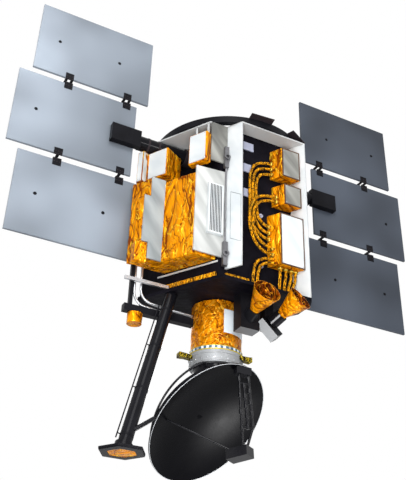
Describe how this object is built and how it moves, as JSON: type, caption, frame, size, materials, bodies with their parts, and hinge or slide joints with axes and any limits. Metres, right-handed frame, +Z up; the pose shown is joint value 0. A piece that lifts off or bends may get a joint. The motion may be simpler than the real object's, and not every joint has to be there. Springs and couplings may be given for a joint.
{
  "type": "earth observation satellite",
  "caption": "Earth observation satellite: hexagonal bus, two folding three-panel wings, spun black dish, star trackers, drum and mast under it.",
  "frame": {"origin": "centre of the adapter ring's top face", "axes": "+Z up out of the adapter ring, X along the wings, -Y out of the open front bay"},
  "size_m": [3.7115, 1.5081, 3.71],
  "materials": {
    "gold_foil": "crinkled gold foil blanket",
    "white_paint": "satin white",
    "grey_paint": "satin grey",
    "black_skin": "matte black blanket",
    "black_metal": "satin black",
    "bare_metal": "brushed",
    "band_blue": "blue band",
    "dish_black": "gloss black",
    "rim_grey": "thin light edge",
    "panel_face": "smooth blue grey sheet"
  },
  "bodies": {
    "bus": {"left_box": "gold_foil", "left_blocks": "gold_foil", "face_boxes": "gold_foil", "bay_boxes": "gold_foil", "harness": "gold_foil", "bay_cables": "gold_foil", "drum": "gold_foil", "tracker_cups": "gold_foil", "canister": "gold_foil", "ring_brackets": "gold_foil", "mast_pad_face": "gold_foil", "corner_fin": "white_paint", "right_fin": "white_paint", "grille_panel": "white_paint", "louvre": "white_paint", "stepped_radiator": "white_paint", "rear_radiators": "white_paint", "face_plates": "white_paint", "mast_conduit": "white_paint", "grey_panel": "grey_paint", "bay_fittings": "grey_paint", "bay_plates": "grey_paint", "top_deck": "grey_paint", "bus_core": "black_skin", "bay_wall": "black_skin", "bottom_deck": "black_skin", "closure_panels": "black_skin", "adapter_ring": "black_skin", "ring_tabs": "black_skin", "tracker_mounts": "black_skin", "frame_beams": "black_skin", "mast": "black_skin", "mast_pad": "black_skin", "frame_pipes": "bare_metal", "hinge_post": "bare_metal", "skirt": "bare_metal", "drum_band": "band_blue", "array_drives": "black_metal"},
    "antenna": {"spun_drum": "black_skin", "dish": "dish_black", "dish_rim": "rim_grey", "dish_frame": "black_metal", "feed": "black_metal"},
    "wing_left": {"wing_left_boom": "black_metal", "wing_left_yoke": "black_metal", "wing_left_middle": "panel_face", "wing_left_middle_fittings": "black_metal"},
    "wing_left_upper_panel": {"wing_left_upper": "panel_face", "wing_left_upper_fittings": "black_metal"},
    "wing_left_lower_panel": {"wing_left_lower": "panel_face", "wing_left_lower_fittings": "black_metal"},
    "wing_right": {"wing_right_boom": "black_metal", "wing_right_yoke": "black_metal", "wing_right_middle": "panel_face", "wing_right_middle_fittings": "black_metal"},
    "wing_right_upper_panel": {"wing_right_upper": "panel_face", "wing_right_upper_fittings": "black_metal"},
    "wing_right_lower_panel": {"wing_right_lower": "panel_face", "wing_right_lower_fittings": "black_metal"}
  },
  "joints": [
    {"name": "antenna_spin", "type": "hinge", "parent": "bus", "child": "antenna", "pos_m": [-0.158, -0.157, -1.98], "axis": [0, 0, 1], "continuous": true},
    {"name": "array_drive_left", "type": "hinge", "parent": "bus", "child": "wing_left", "pos_m": [-0.438, -0.076, -0.147], "axis": [1, 0, 0], "range_deg": [0, 150]},
    {"name": "array_drive_right", "type": "hinge", "parent": "bus", "child": "wing_right", "pos_m": [0.493, -0.076, -0.147], "axis": [1, 0, 0], "range_deg": [0, 150]},
    {"name": "fold_upper_left", "type": "hinge", "parent": "wing_left", "child": "wing_left_upper_panel", "pos_m": [-1.252, -0.036, 0.2285], "axis": [-1, 0, 0], "range_deg": [0, 180]},
    {"name": "fold_lower_left", "type": "hinge", "parent": "wing_left", "child": "wing_left_lower_panel", "pos_m": [-1.252, -0.02, -0.5225], "axis": [1, 0, 0], "range_deg": [0, 180]},
    {"name": "fold_upper_right", "type": "hinge", "parent": "wing_right", "child": "wing_right_upper_panel", "pos_m": [1.1596, -0.036, 0.2285], "axis": [-1, 0, 0], "range_deg": [0, 180]},
    {"name": "fold_lower_right", "type": "hinge", "parent": "wing_right", "child": "wing_right_lower_panel", "pos_m": [1.1596, -0.02, -0.5225], "axis": [1, 0, 0], "range_deg": [0, 180]}
  ]
}
